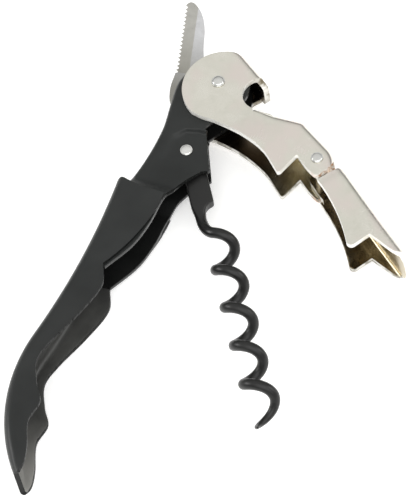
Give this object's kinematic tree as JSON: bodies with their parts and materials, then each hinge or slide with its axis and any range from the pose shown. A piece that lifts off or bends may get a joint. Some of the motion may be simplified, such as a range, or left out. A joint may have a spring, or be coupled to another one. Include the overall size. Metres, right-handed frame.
{
  "type": "lever corkscrew",
  "caption": "Folding waiter's corkscrew with a double-hinged lever, crown-cap notch, coiled worm, serrated foil knife and a scalloped sheet-metal handle.",
  "frame": {"origin": "under the middle of the whole object, on the plane that the handle shell lies on", "axes": "+Y along the handle towards the head, +Z out of the side it lies on, +X the way the channels open"},
  "size_m": [0.0738, 0.1276, 0.013],
  "materials": {
    "handle_paint": "satin black paint",
    "frame_paint": "satin black paint",
    "nickel_plate": "warm nickel plate with a soft polish",
    "rivet_steel": "polished",
    "worm_coating": "semi-gloss black non-stick coating",
    "blade_steel": "ground and polished"
  },
  "bodies": {
    "handle": {"handle_shell": "handle_paint", "inner_frame": "frame_paint", "lever_rivet": "rivet_steel", "worm_rivet": "rivet_steel", "knife_pin": "rivet_steel", "knife_spacers": "rivet_steel"},
    "lever": {"lever": "nickel_plate", "boot_rivet": "rivet_steel"},
    "boot": {"boot": "nickel_plate"},
    "worm": {"worm": "worm_coating"},
    "knife": {"knife": "blade_steel"}
  },
  "joints": [
    {"name": "lever_swing", "type": "hinge", "parent": "handle", "child": "lever", "pos_m": [-0.01834, 0.04139, 0.0065], "axis": [0, 0, 1], "range_deg": [-15, 60]},
    {"name": "boot_swing", "type": "hinge", "parent": "lever", "child": "boot", "pos_m": [0.00976, 0.02749, 0.0065], "axis": [0, 0, 1], "range_deg": [-30, 6]},
    {"name": "worm_swing", "type": "hinge", "parent": "handle", "child": "worm", "pos_m": [-0.02004, 0.02349, 0.0065], "axis": [0, 0, 1], "range_deg": [-42, 0]},
    {"name": "knife_swing", "type": "hinge", "parent": "handle", "child": "knife", "pos_m": [-0.02434, 0.03839, 0.0065], "axis": [0, 0, 1], "range_deg": [0, 154]}
  ]
}
